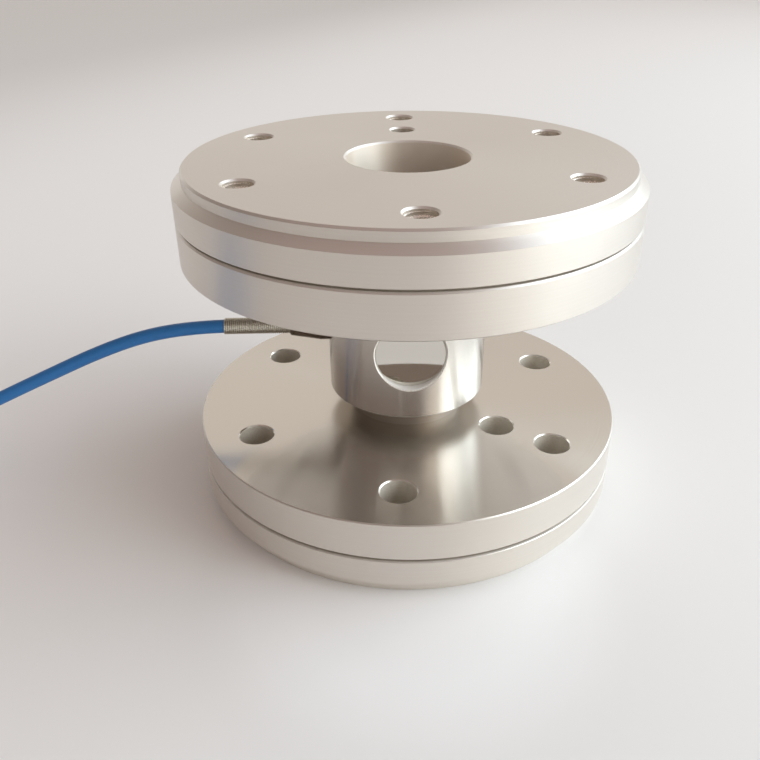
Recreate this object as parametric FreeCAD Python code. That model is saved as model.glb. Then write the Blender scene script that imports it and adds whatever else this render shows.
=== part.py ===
import FreeCAD, Part
import math
import os

# Column load cell: two flanges on a short gauge column, with a cable at its side.
# Millimetres. The origin is the middle of the lower flange's bottom face, and +Z is up.
# The front pocket looks along -Y, and the cable leaves along -X.

V = FreeCAD.Vector
Z = V(0, 0, 1)

# How far a cutter reaches past the faces it opens
overrun = 1.0

# Flanges
overall_h = 100.0
flange_d = 127.0
flange_t = 24.5
spigot_d = 121.5
spigot_h = 2.9
cone_h = 1.9
spigot_break = 0.55
edge_break = 0.3
groove_from_face = 12.65
groove_w = 0.8
groove_depth = 1.5
groove_lip = 0.1
groove_bevel = 0.4
bore_d = 34.0
bore_depth = 10.0
bore_chamfer = 0.5
register_depth = 3.0

# Fixing holes
bolt_count = 6
bolt_circle_d = 99.0
tapped_d = 8.0
tapped_chamfer = 0.5
clear_hole_d = 10.0
clear_chamfer = 0.3
pin_circle_d = 63.6
upper_pin_d = 7.0
upper_pin_chamfer = 0.5
lower_pin_d = 10.0
lower_pin_chamfer = 0.3
upper_first_deg = 30.0
upper_pin_deg = 90.0
lower_turn_deg = -5.4
lower_pin_deg = 330.0

# Clamp screws between flange and column
screw_count = 6
screw_circle_d = 24.0
screw_d = 5.0
screw_head_d = 8.5
screw_head_h = 5.0
screw_socket_af = 4.0
screw_socket_depth = 2.5
screw_reach = 10.0
screw_point = 0.6
screw_hole_d = 5.5
tapped_spare = 2.0
head_room = 1.0
head_side_room = 0.25

# Gauge column
drum_d = 47.0
neck_d = 34.0
neck_h = 6.4
drum_chamfer = 0.4
seat_chamfer = 0.5
seat_gap = 0.05
pocket_d = 20.0
pocket_chamfer = 0.4
cover_sink = 0.25
cover_t = 1.5
cover_chamfer = 0.2
cover_gap = 0.05
gasket_t = 0.5
ledge_w = 2.0
web_t = 8.0

# What sits in the pockets
gauge_w = 8.0
gauge_h = 6.0
gauge_t = 0.2
board_w = 6.0
board_h = 2.4
board_t = 0.8
board_under_gauge = 1.0
wire_d = 0.8
wire_spread = 1.1
wire_rise = 6.3
wire_pitch_on_board = 2.4
wire_inset = 2.4
wire_chamber_l = 3.0
channel_d = 2.5

# Cable outlet
cable_d = 4.0
cable_gap = 0.05
thread_d = 6.0
thread_gap = 0.05
thread_l = 4.8
seat_cut = 0.7
collar_d = 9.0
collar_l = 3.7
collar_room = 0.2
core_bore_d = 3.0
jacket_stop_in = 1.5
seal_d = 5.1
seal_l = 4.0
nut_thread_d = 6.4
nut_thread_l = 4.5
nut_back_d = 8.8
nut_front_d = 6.2
nut_l = 8.5
spring_wire_d = 0.45
spring_gap = 0.05
spring_pitch = 0.6
spring_turns = 40

# Cable on the floor. The turns lie a little over a diameter apart, on two ties.
turn_pitch = 4.1
turns_across = 5
turns_high = 4
coil_mean_d = 47.0
coil_slack = 0.1
coil_stub = 0.5
tie_t = 1.0
tie_w = 2.5
tie_head = 4.0
tie_degrees = (0.0, 180.0)
sleeve_t = 0.6
sleeve_l = 14.0
sleeve_past_jacket = 8.0
floor_gap = 0.05
lead_d = 1.2
lead_spread = 1.4
lead_to_bend = 9.0
lead_to_floor = 20.0
lead_bend_share = 0.35
lead_tip_d = 0.8
lead_tip_l = 4.0
arc_share = 0.45

# Values that follow
mid_z = overall_h / 2
flange_r = flange_d / 2
spigot_r = spigot_d / 2
drum_r = drum_d / 2
neck_r = neck_d / 2
pocket_r = pocket_d / 2
cavity_r = pocket_r - ledge_w
cable_r = cable_d / 2
screw_circle_r = screw_circle_d / 2
relief_r = screw_circle_r + screw_head_d / 2 + head_side_room
relief_depth = bore_depth + head_room + screw_head_h
column_foot = flange_t - register_depth
clamp_web = column_foot - relief_depth
rim_y = math.sqrt(drum_r ** 2 - pocket_r ** 2)
cover_y = rim_y - cover_sink
ledge_y = cover_y - cover_t - gasket_t
web_y = web_t / 2
board_drop = gauge_h / 2 + board_under_gauge + board_h / 2

# Distances along the outlet, from the column's axis
seat_u = drum_r - seat_cut
thread_u = seat_u - thread_l
chamber_u = thread_u - wire_chamber_l
collar_u = seat_u + collar_l
stop_u = collar_u - jacket_stop_in
seal_u = collar_u + nut_thread_l - seal_l
spring_u = seal_u + seal_l
spring_inner_r = cable_r + spring_gap
spring_outer_r = spring_inner_r + spring_wire_d
spring_l = spring_turns * spring_pitch
nut_end_u = collar_u + nut_l

# Route of the free cable, from the gland down to the floor
floor_lead_z = tie_t + coil_slack + cable_r
cable_route = [
    V(-stop_u, 0, mid_z),
    V(-42.5, 0, mid_z),
    V(-61.0, 0, mid_z - 0.02),
    V(-77.0, 0, 47.9),
    V(-92.5, 0, 42.6),
    V(-110.0, 0, 34.6),
    V(-130.0, 0, 25.2),
    V(-150.0, 0, 15.3),
    V(-170.0, 0, 7.0),
    V(-189.0, 0, floor_lead_z),
    V(-204.0, 0, floor_lead_z),
]

# The coil stands so that its outer turn starts in line with the route's last run
coil_outer_turn_r = coil_mean_d / 2 + (turns_across - 1) / 2 * turn_pitch
coil_half_w = (turns_across - 1) / 2 * turn_pitch + cable_r + coil_slack
coil_h = (turns_high - 1) * turn_pitch + cable_d + 2 * coil_slack
coil_outer_r = coil_mean_d / 2 + coil_half_w
coil_inner_r = coil_mean_d / 2 - coil_half_w
coil_run_in = math.sqrt(coil_outer_r ** 2 - (coil_outer_turn_r - cable_r) ** 2) + coil_stub
coil_x = cable_route[-1].x - coil_run_in
coil_y = cable_route[-1].y - coil_outer_turn_r
coil_centre = V(coil_x, coil_y, 0)

# Route of the free end, from the coil's top layer down to the floor
tail_y = coil_y - coil_outer_turn_r
tail_z = floor_lead_z + (turns_high - 1) * turn_pitch
tail_floor_z = cable_r + cable_gap + sleeve_t + floor_gap
tail_route = [
    V(coil_x + coil_run_in, tail_y, tail_z),
    V(-193.5, tail_y, tail_z),
    V(-182.5, tail_y, 9.8),
    V(-172.0, tail_y, 4.6),
    V(-163.0, tail_y, tail_floor_z),
    V(-153.0, tail_y, tail_floor_z),
]

# The four leads fan out on the floor: name, side, layer, and where each one ends up
LEADS = (
    ("lead_red", 1, 1, 5.5),
    ("lead_black", -1, 1, -5.0),
    ("lead_green", 1, -1, 2.0),
    ("lead_white", -1, -1, -1.6),
)


def along_x(u):
    """Point on the outlet's axis, a distance u from the column's axis."""
    return V(-u, 0, mid_z)


def on_circle(diameter, degrees, z=0.0):
    """Point on a circle round the column's axis."""
    angle = math.radians(degrees)
    return V(diameter / 2 * math.cos(angle), diameter / 2 * math.sin(angle), z)


def turned(outline, base=V(0, 0, 0), axis=Z):
    """Solid of revolution of (radius, height) points round the line through base along axis."""
    points = [V(r, 0, h) for r, h in outline]
    wire = Part.makePolygon(points + points[:1])
    solid = Part.Face(wire).revolve(V(0, 0, 0), Z, 360)
    solid.Placement = FreeCAD.Placement(base, FreeCAD.Rotation(Z, axis))
    return solid


def rod(diameter, start, end):
    """Plain cylinder between two points."""
    return Part.makeCylinder(diameter / 2, (end - start).Length, start, end - start)


def through_hole(place, low, high, diameter, chamfer):
    """Cutter for a hole along Z between two faces, with a chamfer at both."""
    r = diameter / 2
    outline = [
        (0, low - overrun),
        (r + chamfer + overrun, low - overrun),
        (r + chamfer, low),
        (r, low + chamfer),
        (r, high - chamfer),
        (r + chamfer, high),
        (r + chamfer + overrun, high + overrun),
        (0, high + overrun),
    ]
    return turned(outline, V(place.x, place.y, 0))


def flange_blank():
    """Turned flange with its outer face at z = 0 and its inner face upwards."""
    groove_low = groove_from_face - groove_w / 2
    groove_high = groove_from_face + groove_w / 2
    groove_r = flange_r - groove_depth
    register_r = neck_r + seat_gap
    return turned([
        (0, relief_depth),
        (relief_r, relief_depth),
        (relief_r, bore_depth),
        (bore_d / 2, bore_depth),
        (bore_d / 2, bore_chamfer),
        (bore_d / 2 + bore_chamfer, 0),
        (spigot_r - spigot_break, 0),
        (spigot_r, spigot_break),
        (spigot_r, spigot_h),
        (flange_r, spigot_h + cone_h),
        (flange_r, groove_low - groove_lip),
        (flange_r - groove_lip, groove_low),
        (groove_r, groove_low),
        (groove_r, groove_high),
        (flange_r - groove_bevel, groove_high),
        (flange_r, groove_high + groove_bevel),
        (flange_r, flange_t - edge_break),
        (flange_r - edge_break, flange_t),
        (register_r, flange_t),
        (register_r, column_foot),
        (0, column_foot),
    ])


def clamp_places():
    return [on_circle(screw_circle_d, 360 / screw_count * i) for i in range(screw_count)]


def flange(first_deg, hole_d, hole_chamfer, pin_d, pin_chamfer, pin_deg):
    """Flange with its outer face down, its fixing holes, its pin hole and its clamp holes."""
    solid = flange_blank()
    for i in range(bolt_count):
        place = on_circle(bolt_circle_d, first_deg + 360 / bolt_count * i)
        solid = solid.cut(through_hole(place, 0, flange_t, hole_d, hole_chamfer))
    pin_place = on_circle(pin_circle_d, pin_deg)
    solid = solid.cut(through_hole(pin_place, 0, flange_t, pin_d, pin_chamfer))
    for place in clamp_places():
        solid = solid.cut(rod(screw_hole_d, place + Z * relief_depth, place + Z * column_foot))
    return solid


def turned_over(solid):
    """The same solid upside down at the top of the part, turned about the X axis."""
    flipped = solid.copy()
    flipped.rotate(V(0, 0, mid_z), V(1, 0, 0), 180)
    return flipped


def clamp_screws():
    """Ring of socket screws, heads in the flange's relief and points in the column's foot."""
    head = Part.makeCylinder(screw_head_d / 2, screw_head_h)
    corners = [
        V(screw_socket_af / math.sqrt(3) * math.cos(a), screw_socket_af / math.sqrt(3) * math.sin(a), 0)
        for a in [math.radians(60 * i) for i in range(6)]
    ]
    socket = Part.Face(Part.makePolygon(corners + corners[:1])).extrude(Z * screw_socket_depth)
    r = screw_d / 2
    shank_l = clamp_web + screw_reach
    shank = turned([
        (0, 0),
        (r, 0),
        (r, shank_l - screw_point),
        (r - screw_point, shank_l),
        (0, shank_l),
    ], Z * screw_head_h)
    screw = head.cut(socket).fuse(shank).removeSplitter()
    screws = []
    for place in clamp_places():
        one = screw.copy()
        one.translate(place + Z * (relief_depth - screw_head_h))
        screws.append(one.Solids[0])
    return Part.makeCompound(screws)


def mirrored_back(solid):
    """The front pocket's piece, mirrored into the back pocket."""
    return solid.mirror(V(0, 0, 0), V(0, 1, 0))


def front_disc(radius, near, far):
    """Disc across the front pocket, between two distances from the column's axis."""
    return Part.makeCylinder(radius, far - near, V(0, -near, mid_z), V(0, -1, 0))


def wire_route(side_z, place_x):
    """One core, from the cable's stripped end through the channel to the front board."""
    core_y = -wire_spread / 2
    core_z = mid_z + side_z * wire_spread / 2
    depth = web_y + wire_rise
    turn_in = V(-chamber_u - wire_d, core_y, core_z)
    in_cavity = V(-cavity_r + wire_inset, -depth, core_z)
    over_board = V(place_x, -depth, mid_z - board_drop)
    on_board = V(place_x, -web_y - board_t, mid_z - board_drop)
    return [V(-stop_u, core_y, core_z), turn_in, in_cavity, over_board, on_board]


def column():
    """Gauge column with its two pockets, its outlet and its tapped ends."""
    foot = column_foot
    drum_foot = flange_t + neck_h
    half = [
        (0, foot),
        (neck_r - seat_chamfer, foot),
        (neck_r, foot + seat_chamfer),
        (neck_r, drum_foot),
        (drum_r - drum_chamfer, drum_foot),
        (drum_r, drum_foot + drum_chamfer),
    ]
    solid = turned(half + [(r, overall_h - z) for r, z in reversed(half)])
    for side in (-1, 1):
        mouth = Part.makeCylinder(pocket_r, drum_r, V(0, side * ledge_y, mid_z), V(0, side, 0))
        solid = solid.cut(mouth)
    solid = solid.makeChamfer(pocket_chamfer, pocket_rims(solid))
    for side in (-1, 1):
        cavity_l = ledge_y - web_y
        solid = solid.cut(Part.makeCylinder(cavity_r, cavity_l, V(0, side * web_y, mid_z), V(0, side, 0)))
        path = wire_route(0, 0)
        start, end = path[1], path[2]
        start.y = start.y * -side
        end.y = end.y * -side
        solid = solid.cut(rod(channel_d, start, end))
    solid = solid.cut(rod(thread_d, along_x(chamber_u), along_x(drum_r + overrun)))
    solid = solid.cut(rod(collar_d + 2 * collar_room, along_x(seat_u), along_x(drum_r + overrun)))
    tap_l = screw_reach + tapped_spare
    for place in clamp_places():
        solid = solid.cut(rod(screw_d + 2 * thread_gap, place + Z * foot, place + Z * (foot + tap_l)))
        top = overall_h - foot
        solid = solid.cut(rod(screw_d + 2 * thread_gap, place + Z * (top - tap_l), place + Z * top))
    return solid


def pocket_rims(solid):
    """The edges where the pockets' walls meet the drum's round side: all others are lines or circles."""
    return [edge for edge in solid.Edges if not isinstance(edge.Curve, (Part.Line, Part.Circle))]


def cover():
    inner = cover_y - cover_t
    r = pocket_r - cover_gap
    outline = [
        (0, inner),
        (r, inner),
        (r, cover_y - cover_chamfer),
        (r - cover_chamfer, cover_y),
        (0, cover_y),
    ]
    return turned(outline, V(0, 0, mid_z), V(0, -1, 0))


def gasket():
    r = pocket_r - cover_gap
    top_y = ledge_y + gasket_t
    return front_disc(r, ledge_y, top_y).cut(front_disc(cavity_r, ledge_y, top_y))


def on_web(width, height, thickness, drop):
    """Plate on the front face of the web, with its middle drop below the pocket's middle."""
    corner = V(-width / 2, -web_y - thickness, mid_z - drop - height / 2)
    return Part.makeBox(width, thickness, height, corner)


def route_path(points):
    """Wire of straight runs joined by tangent arcs, with its length and its arcs' radii."""
    edges = []
    radii = []
    start = points[0]
    for before, corner, after in zip(points, points[1:], points[2:]):
        run_in = corner - before
        run_out = after - corner
        tangent = arc_share * min(run_in.Length, run_out.Length)
        run_in.normalize()
        run_out.normalize()
        half_turn = run_in.getAngle(run_out) / 2
        radius = tangent / math.tan(half_turn)
        arc_start = corner - run_in * tangent
        arc_end = corner + run_out * tangent
        inwards = run_out - run_in
        inwards.normalize()
        arc_middle = corner + inwards * (radius / math.cos(half_turn) - radius)
        edges.append(Part.LineSegment(start, arc_start).toShape())
        edges.append(Part.Arc(arc_start, arc_middle, arc_end).toShape())
        radii.append(radius)
        start = arc_end
    edges.append(Part.LineSegment(start, points[-1]).toShape())
    return Part.Wire(edges), radii


def tube(points, diameter, name):
    """Round solid along a route, with its volume set against its section times its length."""
    path, radii = route_path(points)
    ring = Part.Circle(points[0], points[1] - points[0], diameter / 2).toShape()
    solid = path.makePipeShell([Part.Wire([ring])], True, False)
    expected = math.pi * diameter ** 2 / 4 * path.Length
    print(name, "length %.1f" % path.Length, "volume ratio %.4f" % (solid.Volume / expected),
          "radii", [round(r) for r in radii])
    return solid


def bridge_wires(name):
    """Two cores from the cable's stripped end to the front board."""
    wires = [
        tube(wire_route(side, side * wire_pitch_on_board / 2), wire_d, name)
        for side in (-1, 1)
    ]
    return Part.makeCompound([w.Solids[0] for w in wires])


def gland_body():
    thread_r = thread_d / 2 - thread_gap
    cable_bore_r = cable_r + cable_gap
    seal_r = seal_d / 2 + cable_gap
    collar_r = collar_d / 2
    end_u = collar_u + nut_thread_l
    return turned([
        (core_bore_d / 2, thread_u),
        (thread_r, thread_u),
        (thread_r, seat_u),
        (collar_r - edge_break, seat_u),
        (collar_r, seat_u + edge_break),
        (collar_r, collar_u - edge_break),
        (collar_r - edge_break, collar_u),
        (nut_thread_d / 2, collar_u),
        (nut_thread_d / 2, end_u),
        (seal_r, end_u),
        (seal_r, seal_u),
        (cable_bore_r, seal_u),
        (cable_bore_r, stop_u),
        (core_bore_d / 2, stop_u),
    ], V(0, 0, mid_z), V(-1, 0, 0))


def gland_seal():
    return turned([
        (cable_r + cable_gap, seal_u),
        (seal_d / 2, seal_u),
        (seal_d / 2, spring_u),
        (cable_r + cable_gap, spring_u),
    ], V(0, 0, mid_z), V(-1, 0, 0))


def gland_nut():
    thread_r = nut_thread_d / 2 + thread_gap
    mouth_r = spring_outer_r + cable_gap
    return turned([
        (thread_r, collar_u),
        (nut_back_d / 2, collar_u),
        (nut_front_d / 2, nut_end_u - edge_break),
        (nut_front_d / 2 - edge_break, nut_end_u),
        (mouth_r, nut_end_u),
        (mouth_r, spring_u),
        (thread_r, spring_u),
    ], V(0, 0, mid_z), V(-1, 0, 0))


def strain_relief_spring():
    """Close-wound spring as a tube with one round of wire for each turn on its outside."""
    edges = [Part.LineSegment(V(spring_inner_r, 0, spring_l), V(spring_inner_r, 0, 0)).toShape()]
    root_r = spring_outer_r - spring_wire_d / 2
    edges.append(Part.LineSegment(V(spring_inner_r, 0, 0), V(root_r, 0, 0)).toShape())
    for i in range(spring_turns):
        low = i * spring_pitch
        crown = V(spring_outer_r, 0, low + spring_pitch / 2)
        edges.append(Part.Arc(V(root_r, 0, low), crown, V(root_r, 0, low + spring_pitch)).toShape())
    edges.append(Part.LineSegment(V(root_r, 0, spring_l), V(spring_inner_r, 0, spring_l)).toShape())
    solid = Part.Face(Part.Wire(edges)).revolve(V(0, 0, 0), Z, 360)
    solid.Placement = FreeCAD.Placement(along_x(spring_u), FreeCAD.Rotation(Z, V(-1, 0, 0)))
    return solid


def bundle_ring(grow):
    """Ring of the coil's outer shape, with its section made larger all round by grow."""
    low = tie_t - grow
    high = tie_t + coil_h + grow
    corner = cable_r + grow
    inner = coil_inner_r - grow
    outer = coil_outer_r + grow
    box = Part.makeCylinder(outer, high - low, coil_centre + Z * low)
    ring = box.cut(Part.makeCylinder(inner, high - low, coil_centre + Z * low))
    rims = [edge for edge in ring.Edges if isinstance(edge.Curve, Part.Circle)]
    return ring.makeFillet(corner, rims)


def cable_coil():
    """The wound cable, with the first and last turns leaving it along X."""
    ring = bundle_ring(0)
    lead_in = rod(cable_d, cable_route[-1], V(coil_x, cable_route[-1].y, cable_route[-1].z))
    lead_out = rod(cable_d, V(coil_x, tail_y, tail_z), tail_route[0])
    return ring.fuse(lead_in).fuse(lead_out).removeSplitter()


def coil_ties():
    """Flat ties round the coil's section, each with its head at the coil's outside."""
    band = bundle_ring(tie_t).cut(bundle_ring(0))
    ties = []
    for degrees in tie_degrees:
        slab = Part.makeBox(coil_outer_r + 2 * tie_t, tie_w, coil_h + 4 * tie_t, V(0, -tie_w / 2, -tie_t))
        head_corner = V(coil_outer_r, -tie_head / 2, coil_h / 2)
        head = Part.makeBox(tie_head / 2 + tie_t, tie_head, tie_head, head_corner)
        for piece in (slab, head):
            piece.rotate(V(0, 0, 0), Z, degrees)
            piece.translate(coil_centre)
        tie = band.common(slab).fuse(head.cut(bundle_ring(0))).removeSplitter()
        ties.append(tie.Solids[0])
    return Part.makeCompound(ties)


def end_sleeve():
    end = tail_route[-1] + V(sleeve_past_jacket, 0, 0)
    start = end - V(sleeve_l, 0, 0)
    return rod(cable_d + 2 * (cable_gap + sleeve_t), start, end).cut(rod(cable_d + 2 * cable_gap, start, end))


def lead(name, side, layer, ends_at):
    """One insulated core past the jacket, with its bare tip, fanned out on the floor."""
    start = tail_route[-1] + V(0, side * lead_spread / 2, layer * lead_spread / 2)
    leaves = start + V(sleeve_past_jacket, 0, 0)
    bend_z = (leaves.z + lead_d) / 2
    halfway = V(leaves.x + lead_to_bend, start.y + ends_at * lead_bend_share, bend_z)
    rests = V(leaves.x + lead_to_floor, tail_route[-1].y + ends_at, lead_d / 2)
    solid = tube([start, leaves, halfway, rests], lead_d, name)
    way = rests - halfway
    way.normalize()
    tip_end = rests + V(way.x, way.y, 0) * lead_tip_l
    return solid.fuse(rod(lead_tip_d, rests - way * lead_d, tip_end)).removeSplitter()


def pieces():
    lower = flange(
        upper_first_deg + lower_turn_deg, clear_hole_d, clear_chamfer,
        lower_pin_d, lower_pin_chamfer, lower_pin_deg + lower_turn_deg,
    )
    upper = turned_over(flange(
        -upper_first_deg, tapped_d, tapped_chamfer,
        upper_pin_d, upper_pin_chamfer, -upper_pin_deg,
    ))
    made = {
        "upper_flange": upper,
        "lower_flange": lower,
        "column": column(),
        "upper_clamp_screws": turned_over(clamp_screws()),
        "lower_clamp_screws": clamp_screws(),
    }
    in_pockets = {
        "cover": cover(),
        "cover_gasket": gasket(),
        "strain_gauge": on_web(gauge_w, gauge_h, gauge_t, 0),
        "terminal_board": on_web(board_w, board_h, board_t, board_drop),
        "bridge_wires": bridge_wires("bridge_wires"),
    }
    for name, solid in in_pockets.items():
        made["front_" + name] = solid
        made["back_" + name] = mirrored_back(solid)
    made["gland_body"] = gland_body()
    made["gland_seal"] = gland_seal()
    made["gland_nut"] = gland_nut()
    made["strain_relief_spring"] = strain_relief_spring()
    made["cable"] = tube(cable_route, cable_d, "cable")
    made["cable_coil"] = cable_coil()
    made["cable_tail"] = tube(tail_route, cable_d, "cable_tail")
    made["coil_ties"] = coil_ties()
    made["end_sleeve"] = end_sleeve()
    for name, side, layer, ends_at in LEADS:
        made[name] = lead(name, side, layer, ends_at)
    return made


os.makedirs("parts", exist_ok=True)
for name, shape in pieces().items():
    print(name, "solids", len(shape.Solids), "valid", shape.isValid(), "volume %.2f" % shape.Volume)
    shape.exportStep("parts/%s.step" % name)
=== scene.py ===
# %% [markdown]
# A column load cell: two thick turned flanges on a short steel column, with strain gauges in the
# column and a cable at its side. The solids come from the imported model, at their real size and in
# their real place. This lesson gives them their finishes, and adds what is drawn better as a
# surface: the cable, its spring, the screw threads, the ties and the shrunk sleeve. Shapes are
# worked out in millimetres, and become metres when they go into a mesh.

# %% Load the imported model
import bmesh
import bpy
import numpy as np
from mathutils import Matrix, Vector


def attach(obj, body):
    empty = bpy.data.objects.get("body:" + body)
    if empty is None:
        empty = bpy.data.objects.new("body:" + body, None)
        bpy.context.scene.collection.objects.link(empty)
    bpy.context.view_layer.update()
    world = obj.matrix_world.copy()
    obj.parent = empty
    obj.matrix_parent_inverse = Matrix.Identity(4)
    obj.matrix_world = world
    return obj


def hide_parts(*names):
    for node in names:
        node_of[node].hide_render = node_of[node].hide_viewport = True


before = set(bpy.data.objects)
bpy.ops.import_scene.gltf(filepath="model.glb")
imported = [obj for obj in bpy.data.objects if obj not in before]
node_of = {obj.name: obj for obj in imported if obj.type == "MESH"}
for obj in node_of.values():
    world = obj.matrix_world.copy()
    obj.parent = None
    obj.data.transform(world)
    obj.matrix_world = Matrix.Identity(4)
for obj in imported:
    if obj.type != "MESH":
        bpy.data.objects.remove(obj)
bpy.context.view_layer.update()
mm = 0.001

# %% [markdown]
# The camera stands where the photograph's camera stood. Its place and its three turns could be
# found by trial, but they were fitted to the round edges of the flanges, which appear as ellipses:
# their widths give the distance and the lens, and their flatness gives the pitch. The picture is
# square, so the sensor's width is also its height. An unturned camera looks straight down, and a
# quarter turn about X levels it.

# %% Camera
camera_place = (-0.01280, -0.21768, 0.15389)
camera_yaw, camera_pitch, camera_roll = np.radians([-1.2082, -29.5808, -0.5732])
lens_mm, sensor_mm = 37.84, 36.0
nearest = 0.01
quarter_turn = np.radians(90)

camera_data = bpy.data.cameras.new("camera")
camera_data.lens = lens_mm
camera_data.sensor_width = sensor_mm
camera_data.clip_start = nearest
camera = bpy.data.objects.new("camera", camera_data)
camera.matrix_world = (
    Matrix.Translation(camera_place)
    @ Matrix.Rotation(camera_yaw, 4, "Z")
    @ Matrix.Rotation(quarter_turn + camera_pitch, 4, "X")
    @ Matrix.Rotation(camera_roll, 4, "Z")
)
bpy.context.collection.objects.link(camera)
bpy.context.scene.camera = camera
bpy.context.scene.view_settings.view_transform = "Standard"
print("camera", lens_mm, "mm lens")

# %% [markdown]
# The cable is one smooth line. It runs straight out of the gland and its spring, bends down to the
# surface under its own weight, and is then wound up, because three metres of it don't fit in the
# picture. Straight runs with rounded corners would look like bent wire. A NURBS spline takes a few
# given points and draws a line that bends evenly between them, as a stiff jacket does.

# %% The route from the gland to the surface, and the free end
cable_d = 4.0
lead_z = 3.1
top_z = 15.4
tail_y, tail_z = -63.4, 2.7
gland_to_surface = np.array([
    (-25, 0, 50), (-42.5, 0, 50), (-61, 0, 49.98), (-77, 0, 47.9), (-92.5, 0, 42.6),
    (-110, 0, 34.6), (-130, 0, 25.2), (-150, 0, 15.3), (-170, 0, 7), (-189, 0, lead_z),
    (-204, 0, lead_z),
])
free_end = np.array([
    (-204, tail_y, top_z), (-193.5, tail_y, top_z), (-182.5, tail_y, 9.8), (-172, tail_y, 4.6),
    (-163, tail_y, tail_z), (-153, tail_y, tail_z),
])
print("route points", len(gland_to_surface), "and", len(free_end))

# %% [markdown]
# The coil is wound in layers, as a hand winds a cable round its fingers: five turns inwards, up
# one layer, five turns outwards, and so on. A plain spiral would climb all the time and leave gaps
# between its turns. So the radius and the height are both flat for most of a turn, and then step
# by one cable's width. Each step is an eased ramp, which starts and ends without a kink.

# %% Steps from turn to turn and from layer to layer
turn_pitch = 4.1
turns_across, turns_high = 5, 4
coil_turns = 18.5
coil_mean_r = 23.5
points_per_turn = 16
first_step, step_lag, step_width = 0.9, 0.139, 0.12
outer_turn_r = coil_mean_r + (turns_across - 1) / 2 * turn_pitch


def eased(s):
    """0 before s = 0, 1 after s = 1, and 3s² - 2s³ between."""
    s = np.clip(s, 0, 1)
    return s * s * (3 - 2 * s)


turn = np.linspace(0, coil_turns, int(coil_turns * points_per_turn) + 1)
turn_r = np.full_like(turn, outer_turn_r)
turn_z = np.full_like(turn, lead_z)
for layer in range(turns_high):
    layer_start = first_step + layer * (turns_across - 2 * step_lag)
    way = 1 if layer % 2 else -1
    for step in range(turns_across - 1):
        step_at = layer_start + step
        turn_r += way * turn_pitch * eased((turn - step_at) / step_width + 0.5)
    if layer < turns_high - 1:
        climb_at = layer_start + turns_across - 1 - step_lag
        turn_z += turn_pitch * eased((turn - climb_at) / step_width + 0.5)
print("radius", turn_r.min(), "to", turn_r.max(), "height", turn_z.min(), "to", turn_z.max())

# %% [markdown]
# The turns go round the coil's centre, and the first one starts a quarter turn on, where the lead
# comes in. A spline runs inside its points, by the cosine of half the angle between two of them, so
# the points are set out by as much.

# %% The coil's points
coil_centre = np.array([-220.635, -outer_turn_r])
start_turn = 0.25
turn_angle = 2 * np.pi * (turn + start_turn)
point_r = turn_r / np.cos(np.pi / points_per_turn)
coil_points = np.stack([
    coil_centre[0] + point_r * np.cos(turn_angle),
    coil_centre[1] + point_r * np.sin(turn_angle),
    turn_z,
], axis=1)
print("coil points", len(coil_points))

# %% [markdown]
# A curve could be given a round bevel and used as the cable itself. A mesh tube is easier to shade
# and to measure, so the curve only lends its line: with no bevel it turns into a mesh of bare
# edges, and their vertices are points along the spline.

# %% The cable's line
spline_steps = 6


def spline_line(name, points):
    """A NURBS spline with these control points, read back as points along it, in millimetres."""
    curve = bpy.data.curves.new(name, "CURVE")
    curve.dimensions = "3D"
    curve.resolution_u = spline_steps
    spline = curve.splines.new("NURBS")
    spline.points.add(len(points) - 1)
    spline.points.foreach_set("co", np.column_stack([points * mm, np.ones(len(points))]).ravel())
    spline.order_u = 3
    spline.use_endpoint_u = True
    holder = bpy.data.objects.new(name, curve)
    bpy.context.collection.objects.link(holder)
    bare = bpy.data.meshes.new_from_object(holder.evaluated_get(bpy.context.evaluated_depsgraph_get()))
    line = np.empty(len(bare.vertices) * 3)
    bare.vertices.foreach_get("co", line)
    bpy.data.objects.remove(holder)
    bpy.data.curves.remove(curve)
    bpy.data.meshes.remove(bare)
    return line.reshape(-1, 3) / mm


cable_line = spline_line("cable_route", np.vstack([gland_to_surface, coil_points, free_end]))
cable_length = np.linalg.norm(np.diff(cable_line, axis=0), axis=1).sum() * mm
print("cable", len(cable_line), "points,", round(cable_length, 3), "m")

# %% [markdown]
# Every new piece is a grid of points: one parameter runs along it and one goes round it. Blender's
# own primitives and modifiers could draw some of them, but one way for all is easier to follow.
# The first two helpers carry a flat outline along a path, and shut a grid's ends with a row that
# shrinks to one point.

# %% Outlines carried along a path
def carried(path, out, side, outline):
    """Each row is a path point plus the outline: its first number along out, its second along side."""
    across = out[:, None, :] * outline[..., 0:1] + side[:, None, :] * outline[..., 1:2]
    return path[:, None, :] + across


def shut(rows):
    """The same grid with its first and last row repeated as one point, which closes both ends."""
    first = np.broadcast_to(rows[:1].mean(axis=1, keepdims=True), rows[:1].shape)
    last = np.broadcast_to(rows[-1:].mean(axis=1, keepdims=True), rows[-1:].shape)
    return np.concatenate([first, rows, last])


def oval(half_out, half_side, count):
    """Points of an ellipse: cosine outwards and sine sideways."""
    angle = np.linspace(0, 2 * np.pi, count, endpoint=False)
    return np.column_stack([half_out * np.cos(angle), half_side * np.sin(angle)])


jacket_sides = 16
jacket = oval(cable_d / 2, cable_d / 2, jacket_sides)
print("jacket outline", len(jacket), "points")

# %% [markdown]
# A grid turns into a mesh by giving each of its small squares the numbers of its four corners. It
# is always closed across, and it may be closed along as well, as a ring is. Points that fall
# together are merged, and the faces are turned outwards. Smooth shading stops at edges that are
# sharper than a given angle.

# %% Grids into meshes
merge_within = 1e-7


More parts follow.
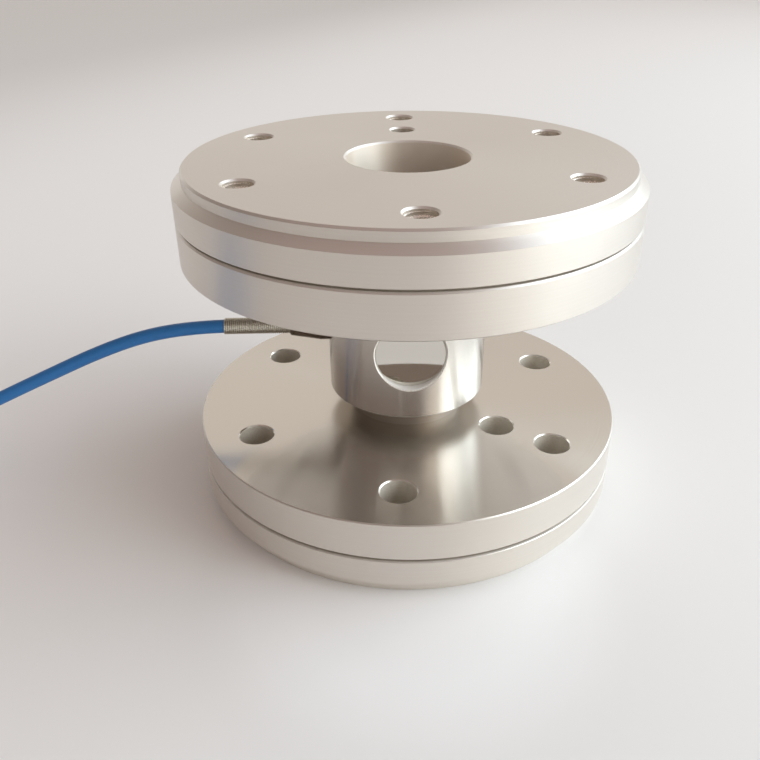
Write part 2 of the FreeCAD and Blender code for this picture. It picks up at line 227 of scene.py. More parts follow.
def quads_of(rows, columns, closed_along):
    """Vertex numbers of the quads of a grid that is closed across, and perhaps along."""
    number = np.arange(rows * columns).reshape(rows, columns)
    number = np.hstack([number, number[:, :1]])
    if closed_along:
        number = np.vstack([number, number[:1]])
    corners = [number[:-1, :-1], number[:-1, 1:], number[1:, 1:], number[1:, :-1]]
    return np.stack(corners, axis=-1).reshape(-1, 4)


def surface(name, grids, closed_along=False, sharp_degrees=40):
    """One mesh object of several grids in millimetres, which rides on the part's only body."""
    points, quads, count = [], [], 0
    for grid in grids:
        points.append(grid.reshape(-1, 3))
        quads.append(quads_of(*grid.shape[:2], closed_along) + count)
        count += len(points[-1])
    mesh = bpy.data.meshes.new(name)
    mesh.from_pydata((np.vstack(points) * mm).tolist(), [], np.vstack(quads).tolist())
    work = bmesh.new()
    work.from_mesh(mesh)
    bmesh.ops.remove_doubles(work, verts=work.verts, dist=merge_within)
    bmesh.ops.recalc_face_normals(work, faces=work.faces)
    work.to_mesh(mesh)
    work.free()
    mesh.shade_smooth()
    mesh.set_sharp_from_angle(angle=np.radians(sharp_degrees))
    piece = bpy.data.objects.new(name, mesh)
    bpy.context.collection.objects.link(piece)
    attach(piece, "root")
    print(name, len(mesh.polygons), "faces")
    return piece


# %% [markdown]
# The cable's tube is a circle carried along the line. At each point it needs two directions across
# the line. A curve's own twist could give them, but no part of the cable is upright, so there is a
# simpler way: the first is level, at right angles to the line, and the second is at right angles
# to both.

# %% The cable's tube
forward = np.gradient(cable_line, axis=0)
level_side = np.cross(forward, (0, 0, 1))
level_side /= np.linalg.norm(level_side, axis=1, keepdims=True)
over = np.cross(level_side, forward)
over /= np.linalg.norm(over, axis=1, keepdims=True)
cable_grid = shut(carried(cable_line, over, level_side, jacket))
signal_cable = surface("signal_cable", [cable_grid], sharp_degrees=60)
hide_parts("cable", "cable_coil", "cable_tail")

# %% [markdown]
# The strain relief is a close-wound spring round the cable. It stops the jacket from bending
# sharply at the gland. A row of rings would look the same from a step away, but the real one is a
# single wire, so an oval is carried along a helix. Each turn almost touches the next, and the
# jacket doesn't show between them.

# %% The spring
middle_z = 50.0
spring_start, spring_turns, spring_pitch = 31.0, 40, 0.6
wire_across, wire_along, jacket_gap = 0.45, 0.57, 0.05
spring_mean_r = cable_d / 2 + jacket_gap + wire_across / 2
wire_sides, spring_steps = 8, 28


def helix(turns, steps_per_turn):
    """Turn number, and the cosine and sine of its angle, at even steps along a helix."""
    number = np.linspace(0, turns, int(turns * steps_per_turn) + 1)
    return number, np.cos(2 * np.pi * number), np.sin(2 * np.pi * number)


inset = wire_along / 2
winds = (spring_turns * spring_pitch - 2 * inset) / spring_pitch
number, across, rise = helix(winds, spring_steps)
flat = np.zeros_like(number)
spring_out = np.column_stack([flat, across, rise])
spring_side = np.column_stack([flat - 1, flat, flat])
spring_axis = np.column_stack([-(spring_start + inset + spring_pitch * number), flat, flat + middle_z])
spring_path = spring_mean_r * spring_out + spring_axis
wire = oval(wire_across / 2, wire_along / 2, wire_sides)
spring_grid = shut(carried(spring_path, spring_out, spring_side, wire))
relief_spring = surface("relief_spring", [spring_grid], sharp_degrees=70)
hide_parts("strain_relief_spring")

# %% [markdown]
# The upper flange's six holes are tapped. The solids have plain holes at the thread's full width.
# A bump in the material could suggest a thread, but it would leave the hole's edge round, so the
# thread is a real ridge: a trapezium carried down a helix, with its foot sunk a little into the
# wall. It grows from nothing over its first and last turn, as a tap leaves it.

# %% One thread's ridge
tapped_r, thread_pitch, thread_depth = 4.0, 1.25, 0.66
thread_low, thread_high = 76.3, 99.2
thread_foot, thread_crest = 0.58, 0.09
foot_sink = 0.05
thread_steps = 36
least_grown = 0.02

number, across, rise = helix((thread_high - thread_low) / thread_pitch, thread_steps)
flat = np.zeros_like(number)
grown = np.clip(np.minimum(number, number[-1] - number), least_grown, 1)[:, None]
depth_at = thread_depth * grown * np.array([0, 1, 1, 0]) - foot_sink * np.array([1, 0, 0, 1])
half_at = grown * np.array([-thread_foot, -thread_crest, thread_crest, thread_foot])
ridge = np.stack([depth_at, half_at], axis=-1)
print("ridge", ridge.shape[0], "rows, deepest", depth_at.max(), "mm")

# %% The threads in the six holes
bolt_circle_r = 49.5
hole_count, first_hole_degrees = 6, 30
inwards = -np.column_stack([across, rise, flat])
downwards = np.column_stack([flat, flat, flat - 1])
around_hole = thread_pitch * number[:, None] * downwards - tapped_r * inwards
thread_grids = []
for hole in range(hole_count):
    angle = np.radians(first_hole_degrees + hole * 360 / hole_count)
    mouth = np.array([bolt_circle_r * np.cos(angle), bolt_circle_r * np.sin(angle), thread_high])
    thread_grids.append(shut(carried(mouth + around_hole, inwards, downwards, ridge)))
tapped_threads = surface("tapped_threads", thread_grids, sharp_degrees=30)

# %% [markdown]
# Two nylon ties hold the coil. A tie is a flat band with a small ratchet head. The band could be a
# bevelled curve, but its section and the line that it follows are both rectangles with round
# corners, so one function draws both. On such a line the outward direction is simply the angle that
# each corner point was drawn at. The head is a box with soft edges, all moulded in one.

# %% Rounded outlines
def rounded_rectangle(half_out, half_side, corner, count):
    """(points, outward directions): four corner arcs about centres set in from the sides."""
    angle = (np.arange(count) + 0.5) * 2 * np.pi / count
    away = np.column_stack([np.cos(angle), np.sin(angle)])
    centre = np.sign(away) * (np.array([half_out, half_side]) - corner)
    return centre + corner * away, away


def squared(value, softness):
    """The value's size to a power below 1, with its sign kept, which swells a round into a square."""
    return np.sign(value) * np.abs(value) ** softness


def rounded_block(half, softness, steps):
    """A box with soft edges: a sphere's cosines and sines, each squared off, times half its sides."""
    lift = np.linspace(-np.pi / 2, np.pi / 2, steps)[:, None]
    angle = np.linspace(0, 2 * np.pi, 2 * steps, endpoint=False)[None, :]
    wide = squared(np.cos(lift), softness)
    tall = squared(np.sin(lift), softness) + 0 * angle
    shape = [wide * squared(np.cos(angle), softness), wide * squared(np.sin(angle), softness), tall]
    return np.stack(shape, axis=-1) * np.array(half)


tie_t, tie_w, tie_corner, tie_slack = 1.0, 2.5, 0.3, 0.1
band_points, section_points = 48, 16
coil_half_w = (turns_across - 1) / 2 * turn_pitch + cable_d / 2 + tie_slack
coil_half_h = (turns_high - 1) / 2 * turn_pitch + cable_d / 2 + tie_slack
band_half_w, band_half_h = coil_half_w + tie_t / 2, coil_half_h + tie_t / 2
band_line, band_away = rounded_rectangle(band_half_w, band_half_h, cable_d / 2, band_points)
band_section, _ = rounded_rectangle(tie_t / 2, tie_w / 2, tie_corner, section_points)
print("band", 2 * band_half_w, "by", 2 * band_half_h, "mm")

# %% The ties round the coil
head_w, head_proud, head_z = 4.0, 3.0, 10.25
head_softness, head_steps = 0.3, 16
head = rounded_block((head_proud / 2, head_w / 2, head_w / 2), head_softness, head_steps)
bands, heads = [], []
for degrees in (0, 180):
    outward = np.array([np.cos(np.radians(degrees)), np.sin(np.radians(degrees)), 0])
    sideways = np.array([-outward[1], outward[0], 0])
    upward = np.array([0, 0, 1])
    middle = np.append(coil_centre, tie_t + coil_half_h) + coil_mean_r * outward
    path = middle + band_line[:, :1] * outward + band_line[:, 1:] * upward
    out = band_away[:, :1] * outward + band_away[:, 1:] * upward
    bands.append(carried(path, out, np.broadcast_to(sideways, out.shape), band_section))
    head_middle = middle + (coil_half_w + head_proud / 2) * outward
    head_middle[2] = head_z
    heads.append(head @ np.array([outward, sideways, upward]) + head_middle)
tie_bands = surface("tie_bands", bands, closed_along=True)
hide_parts("coil_ties")
tie_heads = surface("tie_heads", heads, sharp_degrees=60)

# %% [markdown]
# Where the jacket ends, a sleeve was shrunk over the jacket and the four leads. A plain tube would
# look stiff. Past the jacket the real one necks in, and it shows the leads under it as four soft
# lobes, so its radius is a function of the distance along it and of the angle round it. Its two
# ends are rolled in a little. The inner wall is the same, less the thickness, and the two walls
# together make one closed grid.

# %% The shrunk sleeve
sleeve_start, sleeve_l, sleeve_t = -159.0, 14.0, 0.6
jacket_part, neck_l = 6.0, 3.0
over_jacket_r, over_leads_r, lobe, lead_count = 2.65, 2.25, 0.14, 4
rolled_in, rolled_l, inner_share = 0.25, 0.5, 0.2
sleeve_rows, sleeve_sides = 40, 48

along = np.linspace(0, sleeve_l, sleeve_rows)[:, None]
angle = np.linspace(0, 2 * np.pi, sleeve_sides, endpoint=False)[None, :]
necked = eased((along - jacket_part) / neck_l)
lobes = lobe * necked * (1 + np.cos(lead_count * angle)) / 2
outer = over_jacket_r + (over_leads_r - over_jacket_r) * necked - lobes
rolled = rolled_in * np.exp(-along / rolled_l) + rolled_in * np.exp(-(sleeve_l - along) / rolled_l)


def round_cable(radius):
    """Points at a radius about the free end's axis: y takes the cosine and z the sine."""
    x = sleeve_start + along + 0 * radius
    return np.stack([x, tail_y + radius * np.cos(angle), tail_z + radius * np.sin(angle)], axis=-1)


outer_wall = round_cable(outer - rolled)
inner_wall = round_cable(outer - sleeve_t + rolled * inner_share)[::-1]
shrunk_sleeve = surface("shrunk_sleeve", [np.concatenate([outer_wall, inner_wall])], closed_along=True)
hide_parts("end_sleeve")

# %% [markdown]

# %% [markdown]
# Materials come next. A shader works in linear light, but a colour here is given as an sRGB hex
# value, so one function converts it. Another adds a node, sets its properties, and fills its
# sockets with a number or a link. Pattern sizes are real ones: a scale of 1000 / size in
# millimetres repeats a pattern once in that size. A Mix node keeps one set of sockets for each kind
# of value, and those for colours are its inputs 6 and 7 and its output 2.

# %% Helpers for materials
mix_from, mix_to, mixed = 6, 7, 2


def linear(hex_colour):
    """sRGB hex to linear: each channel c becomes c / 12.92, or ((c + 0.055) / 1.055) to the power 2.4."""
    c = np.array([int(hex_colour[i:i + 2], 16) for i in (1, 3, 5)]) / 255
    light = np.where(c <= 0.04045, c / 12.92, ((c + 0.055) / 1.055) ** 2.4)
    return (*light.tolist(), 1.0)


def add(tree, kind, sockets=None, **settings):
    """Adds one node. A socket's value may be a number, a colour or another node's output."""
    node = tree.nodes.new(kind)
    for name, value in settings.items():
        setattr(node, name, value)
    for name, value in (sockets or {}).items():
        if isinstance(value, bpy.types.NodeSocket):
            tree.links.new(value, node.inputs[name])
        else:
            node.inputs[name].default_value = value
    return node


def per_mm(size):
    """Texture scale that repeats a pattern once in this many millimetres."""
    return 1000 / size


def finish_named(name):
    """(material, its node tree, its Principled shader)."""
    material = bpy.data.materials.new(name)
    material.use_nodes = True
    return material, material.node_tree, material.node_tree.nodes["Principled BSDF"]


def dress(material, *wearers):
    """Gives the material to CAD nodes, by name, or to new pieces."""
    for wearer in wearers:
        data = node_of[wearer].data if isinstance(wearer, str) else wearer.data
        data.materials.clear()
        data.materials.append(material)


print("middle grey is", round(linear("#808080")[0], 3), "in linear light")

# %% [markdown]
# The flanges and the column are turned steel with a bright plating. The tool leaves rings too fine
# to see one by one, but they spread a highlight across themselves and keep it sharp along
# themselves. Thousands of tiny grooves could do that. Anisotropy does it in the shader, and only
# needs to know which way the rings run: on a flat face they run round the Z axis, and on a wall they
# run level, at right angles to the face's normal and to Z. A noise of the distance from the axis
# and of the height draws the same rings, faintly, in the colour and the roughness. The real rings
# are about 0.1 mm apart, and are drawn at 0.5 mm so that they show.

# %% Turned steel
ring_mm, cloud_mm = 0.5, 14
across_rings = 0.25


def axis_distance(tree, place):
    """Distance of a point from the Z axis: the length of its X and Y parts."""
    level_place = add(tree, "ShaderNodeVectorMath", {0: place, 1: (1, 1, 0)}, operation="MULTIPLY").outputs[0]
    return add(tree, "ShaderNodeVectorMath", {0: level_place}, operation="LENGTH").outputs["Value"]


def turned_steel(name, dull, bright, roughness, one_way, wall=True, uneven_by=0.03, metallic=1.0):
    """Noise on (distance from the axis, height) mixes two tones and moves the roughness either way."""
    material, tree, shader = finish_named(name)
    place = add(tree, "ShaderNodeTexCoord").outputs["Object"]
    height = add(tree, "ShaderNodeSeparateXYZ", {0: place}).outputs["Z"]
    ring_place = add(tree, "ShaderNodeCombineXYZ", {0: axis_distance(tree, place), 1: height}).outputs[0]
    rings = add(tree, "ShaderNodeTexNoise", {
        "Vector": ring_place, "Scale": per_mm(ring_mm), "Detail": 3.0}).outputs[0]
    tone = add(tree, "ShaderNodeMix", {
        0: rings, mix_from: linear(dull), mix_to: linear(bright)}, data_type="RGBA").outputs[mixed]
    tree.links.new(tone, shader.inputs["Base Color"])

    clouds = add(tree, "ShaderNodeTexNoise", {
        "Vector": place, "Scale": per_mm(cloud_mm), "Detail": 2.0}).outputs[0]
    uneven = add(tree, "ShaderNodeMath", {0: rings, 1: clouds}).outputs[0]
    rough = add(tree, "ShaderNodeMapRange", {
        "Value": uneven, "From Min": 0.6, "From Max": 1.4,
        "To Min": roughness - uneven_by, "To Max": roughness + uneven_by}).outputs[0]
    tree.links.new(rough, shader.inputs["Roughness"])

    if wall:
        facing = add(tree, "ShaderNodeNewGeometry").outputs["Normal"]
        level_run = {0: facing, 1: (0, 0, 1)}
        rings_run = add(tree, "ShaderNodeVectorMath", level_run, operation="CROSS_PRODUCT").outputs[0]
    else:
        rings_run = add(tree, "ShaderNodeTangent", direction_type="RADIAL", axis="Z").outputs[0]
    tree.links.new(rings_run, shader.inputs["Tangent"])
    shader.inputs["Metallic"].default_value = metallic
    shader.inputs["Anisotropic"].default_value = one_way
    shader.inputs["Anisotropic Rotation"].default_value = across_rings
    return material


# %% [markdown]
# Each flange has several of these finishes, because each surface was cut by another tool. One
# material for all of them would be simpler, but then the ground top would shine like the turned
# one. The walls of holes are only part metal. A pure metal gets dark in a hole, where light bounces
# many times, but a real wall keeps a film of oil that scatters some of it.

# %% The flanges' finishes
# The upper face was ground flat: one even satin tone
ground_face = turned_steel("ground_plated_face", "#DFDAD4", "#E7E3DE", 0.46, 0.1, wall=False)
# The lower face was left as turned: its rings spread each light into a fan about the axis
turned_face = turned_steel("turned_plated_face", "#E0DBD4", "#E8E4DE", 0.18, 1.0, wall=False)
# Cones and broken edges: a soft bright patch on the side of the window
turned_cone = turned_steel("turned_plated_cone", "#DDD8D2", "#E5E1DC", 0.38, 0.3, wall=False)
# Rims: satin and a little warm, with an even shade from side to side
turned_rim = turned_steel("turned_plated_rim", "#DBD4CB", "#E3DDD5", 0.40, 0.6)
# The centring bore: soft where the window reaches in; its tone, paler than the rims', is painted
# light for the light that bounces about in it
turned_bore = turned_steel("turned_bore", "#EEE2D3", "#F4EADD", 0.50, 1.0, metallic=0.5)
# Walls between the threads: browner and a little darker than the faces
tapped_hole = turned_steel("tapped_hole_wall", "#C8BEB2", "#D4CABE", 0.34, 0.6, metallic=0.6)
# Drilled walls: grey, with the drill's uneven rings
drilled_hole = turned_steel("drilled_hole_wall", "#D8CEBE", "#FCF8F0", 0.36, 0.6, metallic=0.45)
print("flange finishes", ground_face.name, "to", drilled_hole.name)

# %% [markdown]
# The column was turned finer than the flanges. Its drum shows the room as upright streaks, because
# its level rings spread each reflection up and down. The necks above and below the drum lie in the
# shade of the drum and the flanges, and their dark brown-grey tone is painted shade.

# %% The column's finishes
# The drum's side: a near mirror along its rings, so the streaks have sharp sides
drum_side = turned_steel("bright_turned_drum", "#C6C0B9", "#CEC8C1", 0.22, 1.0, uneven_by=0.008)
# The drum's end faces: satin, in the shade of the flanges
drum_face = turned_steel(
    "bright_turned_drum_face", "#DAD4CC", "#E2DCD4", 0.30, 0.9, wall=False, metallic=0.6)
# The necks: dull, with a dark tone that is painted shade under the drum and the flanges
neck_painted_shade = turned_steel("neck_painted_shade", "#8A7E72", "#94887C", 0.40, 0.6, metallic=0.6)
print("column finishes", drum_side.name, "to", neck_painted_shade.name)

# %% [markdown]
# Round each rim runs a thin groove. Its floor lies in shade, and its tone is painted darker there:
# painted shade, which fades out towards the mouth. Two materials would leave a hard line between
# them, so one material fades from the floor's tone to the mouth's by the distance from the axis.

# %% The groove's painted shade
groove_floor_r, groove_mouth_r = 62.0, 63.5
shade_until, unshaded_from = groove_floor_r + 0.5, groove_mouth_r - 0.4

# Plated steel in the groove: matt, with only a trace of metal, and painted shade towards its floor
groove_painted_shade, tree, shader = finish_named("groove_painted_shade")
place = add(tree, "ShaderNodeTexCoord").outputs["Object"]
# The tone darkens towards the groove's floor: painted shade
unshaded = add(tree, "ShaderNodeMapRange", {
    "Value": axis_distance(tree, place), "From Min": shade_until * mm, "From Max": unshaded_from * mm}).outputs[0]
tone = add(tree, "ShaderNodeMix", {
    0: unshaded, mix_from: linear("#B4AA9E"), mix_to: linear("#F0ECE6")}, data_type="RGBA").outputs[mixed]
tree.links.new(tone, shader.inputs["Base Color"])
shader.inputs["Roughness"].default_value = 0.5
shader.inputs["Metallic"].default_value = 0.15
print(groove_painted_shade.name, "fades from", shade_until, "to", unshaded_from, "mm")

# %% [markdown]
# The pockets in the drum were milled, then blasted with glass beads. That leaves tiny dents, which
# scatter light like frost. At this distance they can't be told apart, so a fine noise in the tone is
# enough. The tone is near white, and that is partly painted light, which brightens the pocket's
# deep, shaded wall.

# %% The blasted pocket
bead_mm = 0.2

# Blasted steel: matt, with no reflection; its near-white tone is partly painted light on the shaded pocket
# wall
pocket_blast_and_painted_light, tree, shader = finish_named("bead_blasted_pocket_with_painted_light")
place = add(tree, "ShaderNodeTexCoord").outputs["Object"]
beads = add(tree, "ShaderNodeTexNoise", {
    "Vector": place, "Scale": per_mm(bead_mm), "Detail": 2.0}).outputs[0]
tone = add(tree, "ShaderNodeMix", {
    0: beads, mix_from: linear("#F6F3EF"), mix_to: linear("#FCFAF8")}, data_type="RGBA").outputs[mixed]
tree.links.new(tone, shader.inputs["Base Color"])
shader.inputs["Roughness"].default_value = 0.6
print(pocket_blast_and_painted_light.name, "dents of", bead_mm, "mm")

# %% [markdown]
# One turned piece has several of these finishes. Its faces could be picked by hand, but which finish
# a face takes follows from where it lies: its distance from the axis, its height and its normal. The
# tests run on all faces of a piece at once, and the first one that holds decides.

# %% Finishes by place
def faces_of(name):
    """(distance from the axis, centres, normals) of a CAD node's faces, in millimetres."""
    mesh = node_of[name].data
    centre, normal = np.empty(len(mesh.polygons) * 3), np.empty(len(mesh.polygons) * 3)
    mesh.polygons.foreach_get("center", centre)
    mesh.polygons.foreach_get("normal", normal)
    centre, normal = centre.reshape(-1, 3) / mm, normal.reshape(-1, 3)
    return np.hypot(centre[:, 0], centre[:, 1]), centre, normal


def dress_by_place(name, otherwise, tests):
    """Gives each face the finish of the first test that holds for it, and else the first finish."""
    mesh = node_of[name].data
    mesh.materials.clear()
    for finish in (otherwise, *tests):
        mesh.materials.append(finish)
    number = np.select(list(tests.values()), range(1, len(tests) + 1), 0)
    mesh.polygons.foreach_set("material_index", number)
    print(name, "faces by finish", np.bincount(number).tolist())


# %% Dress the flanges
# A face is upright, or at least sloping, when its normal's Z part is smaller than this
upright_below, sloping_below = 0.5, 0.95
groove_off_middle, groove_half_w, groove_edge = 37.35, 0.45, 0.2
bore_within, holes_within, spigot_within = 18, 58, 60
for name, face_finish, hole_finish in (
        ("upper_flange", ground_face, tapped_hole), ("lower_flange", turned_face, drilled_hole)):
    off_axis, centre, normal = faces_of(name)
    tilt = np.abs(normal[:, 2])
    upright = tilt < upright_below
    at_groove = np.abs(np.abs(centre[:, 2] - middle_z) - groove_off_middle) < groove_half_w
    in_groove = (off_axis > groove_floor_r - groove_edge) & (off_axis < groove_mouth_r - groove_edge)
    dress_by_place(name, face_finish, {
        # The groove takes the painted shade
        groove_painted_shade: at_groove & in_groove,
        turned_bore: upright & (off_axis < bore_within),
        hole_finish: upright & (off_axis < holes_within),
        turned_rim: upright,
        turned_cone: (tilt < sloping_below) & (off_axis > spigot_within),
    })

# %% Dress the column
pocket_within, necks_within = 10.2, 17.2
off_axis, centre, normal = faces_of("column")
off_pocket = np.hypot(centre[:, 0], centre[:, 2] - middle_z)
upright = np.abs(normal[:, 2]) < upright_below
dress_by_place("column", drum_face, {
    pocket_blast_and_painted_light: off_pocket < pocket_within,
    # The necks take the painted shade
    neck_painted_shade: upright & (off_axis < necks_within),
    drum_side: upright,
})

# %% [markdown]
# The covers in the pockets are thin discs of stainless steel, lapped to a mirror. A roughness of
# nought would make a perfect mirror, which looks like glass. Very faint clouds in the roughness keep
# it steel.

# %% Lapped stainless steel
haze_mm = 3

# Lapped stainless steel: a clear reflection of the table and the lower flange, slightly warm
lapped_finish, tree, shader = finish_named("lapped_stainless_steel")
place = add(tree, "ShaderNodeTexCoord").outputs["Object"]
clouds = add(tree, "ShaderNodeTexNoise", {
    "Vector": place, "Scale": per_mm(haze_mm), "Detail": 3.0}).outputs[0]
rough = add(tree, "ShaderNodeMapRange", {
    "Value": clouds, "From Min": 0.3, "From Max": 0.7, "To Min": 0.02, "To Max": 0.05}).outputs[0]
tree.links.new(rough, shader.inputs["Roughness"])
shader.inputs["Base Color"].default_value = linear("#E0DCD4")
shader.inputs["Metallic"].default_value = 1.0
dress(lapped_finish, "front_cover", "back_cover")
print(lapped_finish.name, "haze of", haze_mm, "mm")

# %% [markdown]
# Several small pieces share one kind of surface: a plain colour with fine grain. Each could have a
# material built by hand, but only their values differ. One function draws them all, and each gets
# its own colour, gloss and grain size from what it really is.

# %% A grained finish
relief_mm, relief_strength, rough_by = 0.1, 0.1, 0.06


def grained(name, light, dark, metallic, roughness, grain_mm):
    """A noise of the grain's size mixes two tones, moves the roughness about and raises a faint bump."""
    material, tree, shader = finish_named(name)
    place = add(tree, "ShaderNodeTexCoord").outputs["Object"]
    grain = add(tree, "ShaderNodeTexNoise", {
        "Vector": place, "Scale": per_mm(grain_mm), "Detail": 4.0}).outputs[0]
    tone = add(tree, "ShaderNodeMix", {
        0: grain, mix_from: linear(dark), mix_to: linear(light)}, data_type="RGBA").outputs[mixed]
    rough = add(tree, "ShaderNodeMapRange", {
        "Value": grain, "From Min": 0.3, "From Max": 0.7,
        "To Min": roughness - rough_by, "To Max": roughness + rough_by}).outputs[0]
    relief = add(tree, "ShaderNodeBump", {
        "Height": grain, "Strength": relief_strength, "Distance": relief_mm * mm}).outputs[0]
    tree.links.new(tone, shader.inputs["Base Color"])
    tree.links.new(rough, shader.inputs["Roughness"])
    tree.links.new(relief, shader.inputs["Normal"])
    shader.inputs["Metallic"].default_value = metallic
    return material


# %% Grained finishes
finishes = {
    # Black oxide on steel: an oily satin black
    "black_oxide_steel": (
        ("#2B2A2B", "#1C1B1C", 1.0, 0.42, 0.4), ["upper_clamp_screws", "lower_clamp_screws"]),
    # Nitrile rubber: matt black, very slightly grey where it is rubbed
    "nitrile_rubber": (
        ("#2A2A2A", "#1F1F1F", 0.0, 0.7, 0.3), ["front_cover_gasket", "back_cover_gasket", "gland_seal"]),
    # Dark nickel on brass: brown-black and glossy
    "dark_nickel_brass": (("#8A7E72", "#7A6E62", 1.0, 0.30, 0.5), ["gland_body", "gland_nut"]),
    # Cut threads: bare steel with bright crests
    "cut_thread_steel": (("#FFF8EE", "#F4ECE2", 0.7, 0.25, 0.3), [tapped_threads]),
    # Drawn stainless wire: grey, with a dull skin from the die
    "drawn_spring_wire": (("#D2CCBE", "#C0BAAC", 1.0, 0.36, 0.3), [relief_spring]),
    # Extruded polyurethane jacket: strong blue, satin
    "blue_polyurethane_jacket": (("#2A7AC0", "#2570B4", 0.0, 0.45, 1.2), [signal_cable]),
    # Moulded natural nylon: milky white
    "natural_nylon": (("#E6E3D8", "#DCD8CC", 0.0, 0.45, 0.6), [tie_bands, tie_heads]),
    # Polyolefin shrink sleeve: matt black
    "black_shrink_sleeve": (("#2B2B2D", "#202022", 0.0, 0.55, 0.5), [shrunk_sleeve]),
    # Silicone wire insulation: pale grey and waxy
    "silicone_insulation": (
        ("#C9C8C4", "#BDBCB7", 0.0, 0.5, 0.4), ["front_bridge_wires", "back_bridge_wires"]),
    # Polyimide film, which carries the strain gauges: glossy amber
    "polyimide_film": (
        ("#C98A2E", "#B77A22", 0.0, 0.3, 0.3), ["front_strain_gauge", "back_strain_gauge"]),
    # Lacquered glass-epoxy board: deep green with a wet shine
    "glass_epoxy_board": (
        ("#2E6B45", "#265C3A", 0.0, 0.35, 0.3), ["front_terminal_board", "back_terminal_board"]),
}
for name, (look, wearers) in finishes.items():
    dress(grained(name, *look), *wearers)
print("grained finishes", len(finishes))

# %% [markdown]
# Each lead has coloured insulation and a bare tinned tip, both on one solid. Its faces could be
# sorted between two materials, as the flanges' are. Here one material asks how far along X the point
# lies, which needs no test of the faces: past the end of the insulation it is bright metal.

# %% Leads with tinned ends
bare_from_x = -125.0
tin_tone = "#C9C7C2"


def tinned_lead(name, light, dark):
    """Insulation before bare_from_x and tinned copper after it: a comparison of X picks between them."""
    material = grained(name, light, dark, 0.0, 0.4, 0.5)
    tree = material.node_tree
    shader = tree.nodes["Principled BSDF"]
    place = add(tree, "ShaderNodeTexCoord").outputs["Object"]
    along_x = add(tree, "ShaderNodeSeparateXYZ", {0: place}).outputs["X"]
    bare = add(tree, "ShaderNodeMath", {0: along_x, 1: bare_from_x * mm}, operation="GREATER_THAN").outputs[0]
    insulated = shader.inputs["Base Color"].links[0].from_socket
    tone = add(tree, "ShaderNodeMix", {
        0: bare, mix_from: insulated, mix_to: linear(tin_tone)}, data_type="RGBA").outputs[mixed]
    tree.links.new(tone, shader.inputs["Base Color"])
    tree.links.new(bare, shader.inputs["Metallic"])
    return material


# Silicone insulation and tinned copper: soft plain colours with a small bright tip
lead_tones = {
    "lead_red": ("#B3261E", "#9E1F18"),
    "lead_black": ("#26262A", "#1B1B1E"),
    "lead_green": ("#2C8A4B", "#237A40"),
    "lead_white": ("#E4E3DF", "#D6D5D0"),
}
for name, tones in lead_tones.items():
    dress(tinned_lead("tinned_" + name, *tones), name)
print("leads", list(lead_tones))

# %% [markdown]
# The stage is a plain pale table. It only carries the shadow, so one flat grid is enough. It is
# large, so that its edge never shows, and it lies a hair below the part.

# %% The table
table_half, table_lines = 4.0, 9
table_z = -0.0001
line = np.linspace(-table_half, table_half, table_lines)
table_x, table_y = np.meshgrid(line, line, indexing="ij")
table_points = np.stack([table_x, table_y, np.full_like(table_x, table_z)], axis=-1).reshape(-1, 3)
number = np.arange(table_lines ** 2).reshape(table_lines, table_lines)
corners = [number[:-1, :-1], number[1:, :-1], number[1:, 1:], number[:-1, 1:]]
table_quads = np.stack(corners, axis=-1).reshape(-1, 4)
table_mesh = bpy.data.meshes.new("pale_table")
table_mesh.from_pydata(table_points.tolist(), [], table_quads.tolist())
pale_table = bpy.data.objects.new("pale_table", table_mesh)
bpy.context.collection.objects.link(pale_table)
print("table", table_half * 2, "m square")

# %% [markdown]
# The table is a pale laminate. Far to the left and behind, where the window's light gives out, its
# tone is painted a little greyer: painted shade. In front of the rim the steel throws light back on
# it. Following that light would take many more samples, so a whiter tone there stands in for it:
# painted light.

# %% Pale laminate
towards_dim, dim_start, dim_full = (-0.9, 0.44, 0), 0.33, 0.85
lit_middle, lit_start, lit_full = (0, -0.06, 0), 0.06, 0.03

# Satin laminate: off-white, with soft shadows and no clear reflection. Its tone holds painted shade
# far to the left and behind, and painted light in front of the rim
laminate, tree, shader = finish_named("pale_laminate")
place = add(tree, "ShaderNodeTexCoord").outputs["Object"]
away = add(tree, "ShaderNodeVectorMath", {0: place, 1: towards_dim}, operation="DOT_PRODUCT").outputs["Value"]
dim_range = {"Value": away, "From Min": dim_start, "From Max": dim_full}
dim = add(tree, "ShaderNodeMapRange", dim_range, interpolation_type="SMOOTHSTEP").outputs[0]
off_rim = add(tree, "ShaderNodeVectorMath", {0: place, 1: lit_middle}, operation="DISTANCE").outputs["Value"]
lit_range = {"Value": off_rim, "From Min": lit_start, "From Max": lit_full}
lit = add(tree, "ShaderNodeMapRange", lit_range, interpolation_type="SMOOTHSTEP").outputs[0]
# Painted shade far to the left and behind, then painted light in front of the rim
tone = add(tree, "ShaderNodeMix", {
    0: dim, mix_from: linear("#F3F2F1"), mix_to: linear("#D8D6D4")}, data_type="RGBA").outputs[mixed]
tone = add(tree, "ShaderNodeMix", {
    0: lit, mix_from: tone, mix_to: linear("#FFFFFF")}, data_type="RGBA").outputs[mixed]
tree.links.new(tone, shader.inputs["Base Color"])
shader.inputs["Roughness"].default_value = 0.5
dress(laminate, pale_table)
print(laminate.name, "on", pale_table.name)

# %% [markdown]
# The light comes from a tall window on the right. One sun lamp would give hard shadows, so the
# window is two large area lamps, which give soft ones.

# %% Window lamps
lamp_aim = Vector((0.0, 0.0, 0.05))


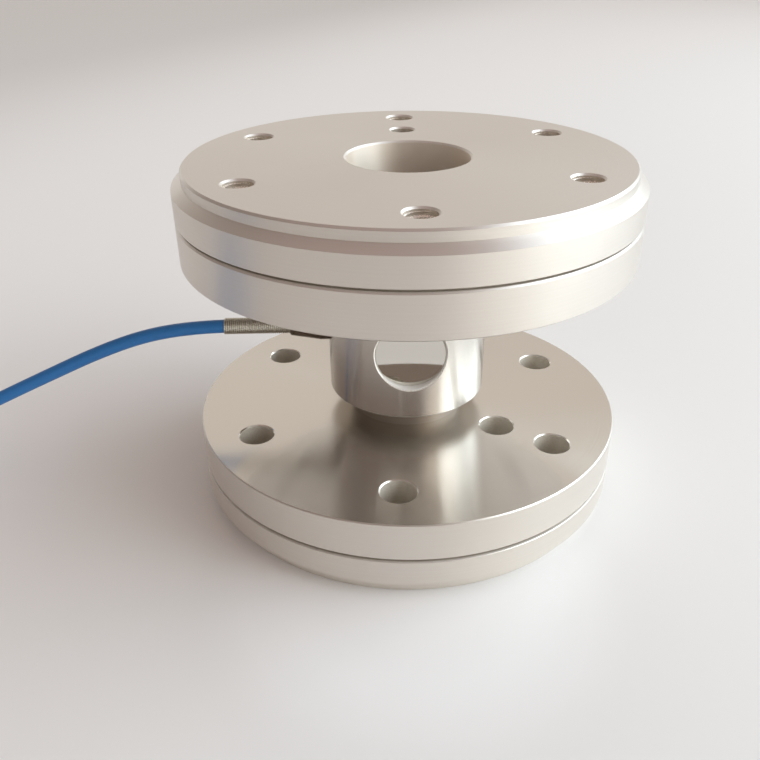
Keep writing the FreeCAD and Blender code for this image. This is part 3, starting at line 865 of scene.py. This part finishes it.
def soft_lamp(name, place, width, depth, watts, colour):
    """A rectangular area lamp at a place, turned to the middle of the object."""
    light = bpy.data.lights.new(name, "AREA")
    light.shape = "RECTANGLE"
    light.size, light.size_y = width, depth
    light.energy = watts
    light.color = linear(colour)[:3]
    lamp = bpy.data.objects.new(name, light)
    facing = (lamp_aim - Vector(place)).to_track_quat("-Z", "Y")
    lamp.matrix_world = Matrix.Translation(place) @ facing.to_matrix().to_4x4()
    bpy.context.collection.objects.link(lamp)
    print(name, watts, "W")


soft_lamp("near_window", (0.95, -0.05, 0.48), 1.4, 0.8, 5.1, "#E3F6FF")
soft_lamp("far_window", (1.2, 1.0, 0.9), 0.9, 0.9, 3.3, "#E9F8FF")

# %% [markdown]
# A metal shows the room that it stands in, and in an empty one it looks black. An image of a room
# could be wrapped round the scene, but a few soft patches are enough: pale furniture along the
# horizon, a pale wall behind, a dim ceiling, and the bright parts of the window that the lamps don't
# cover. The room is a warm grey, and each patch adds its colour to it, in full near its direction and
# fading to nothing away from it.

# %% Room
world = bpy.data.worlds.new("room")
bpy.context.scene.world = world
world.use_nodes = True
tree = world.node_tree
way = add(tree, "ShaderNodeTexCoord").outputs["Generated"]
room_tone = "#8E8179"
room_patches = {
    # name: (direction, cosine where it starts, cosine where it is full, colour, strength)
    "horizon": ((0, 0, -1), -0.22, -0.10, "#ADB5B8", 1.0),
    "wall_behind": ((0, 1, 0.25), 0.55, 0.96, "#B0AEA7", 1.0),
    "ceiling": ((0, 0, 1), 0.6, 0.95, "#736362", 1.0),
    "window_middle": ((1, 0, 0.55), 0.75, 0.97, "#E9F6FF", 2.0),
    "window_corner": ((0.8, -0.6, 0.15), 0.75, 0.97, "#FFFFF9", 1.74),
}
tone = linear(room_tone)[:3]
for direction, start, full, colour, strength in room_patches.values():
    unit = Vector(direction).normalized()
    cosine = add(tree, "ShaderNodeVectorMath", {0: way, 1: unit}, operation="DOT_PRODUCT").outputs["Value"]
    near = {"Value": cosine, "From Min": start, "From Max": full}
    share = add(tree, "ShaderNodeMapRange", near, interpolation_type="SMOOTHSTEP").outputs[0]
    glow = strength * np.array(linear(colour)[:3])
    added = {0: share, 1: glow, 2: tone}
    tone = add(tree, "ShaderNodeVectorMath", added, operation="MULTIPLY_ADD").outputs[0]
tree.links.new(tone, tree.nodes["Background"].inputs["Color"])
print("room patches", list(room_patches))
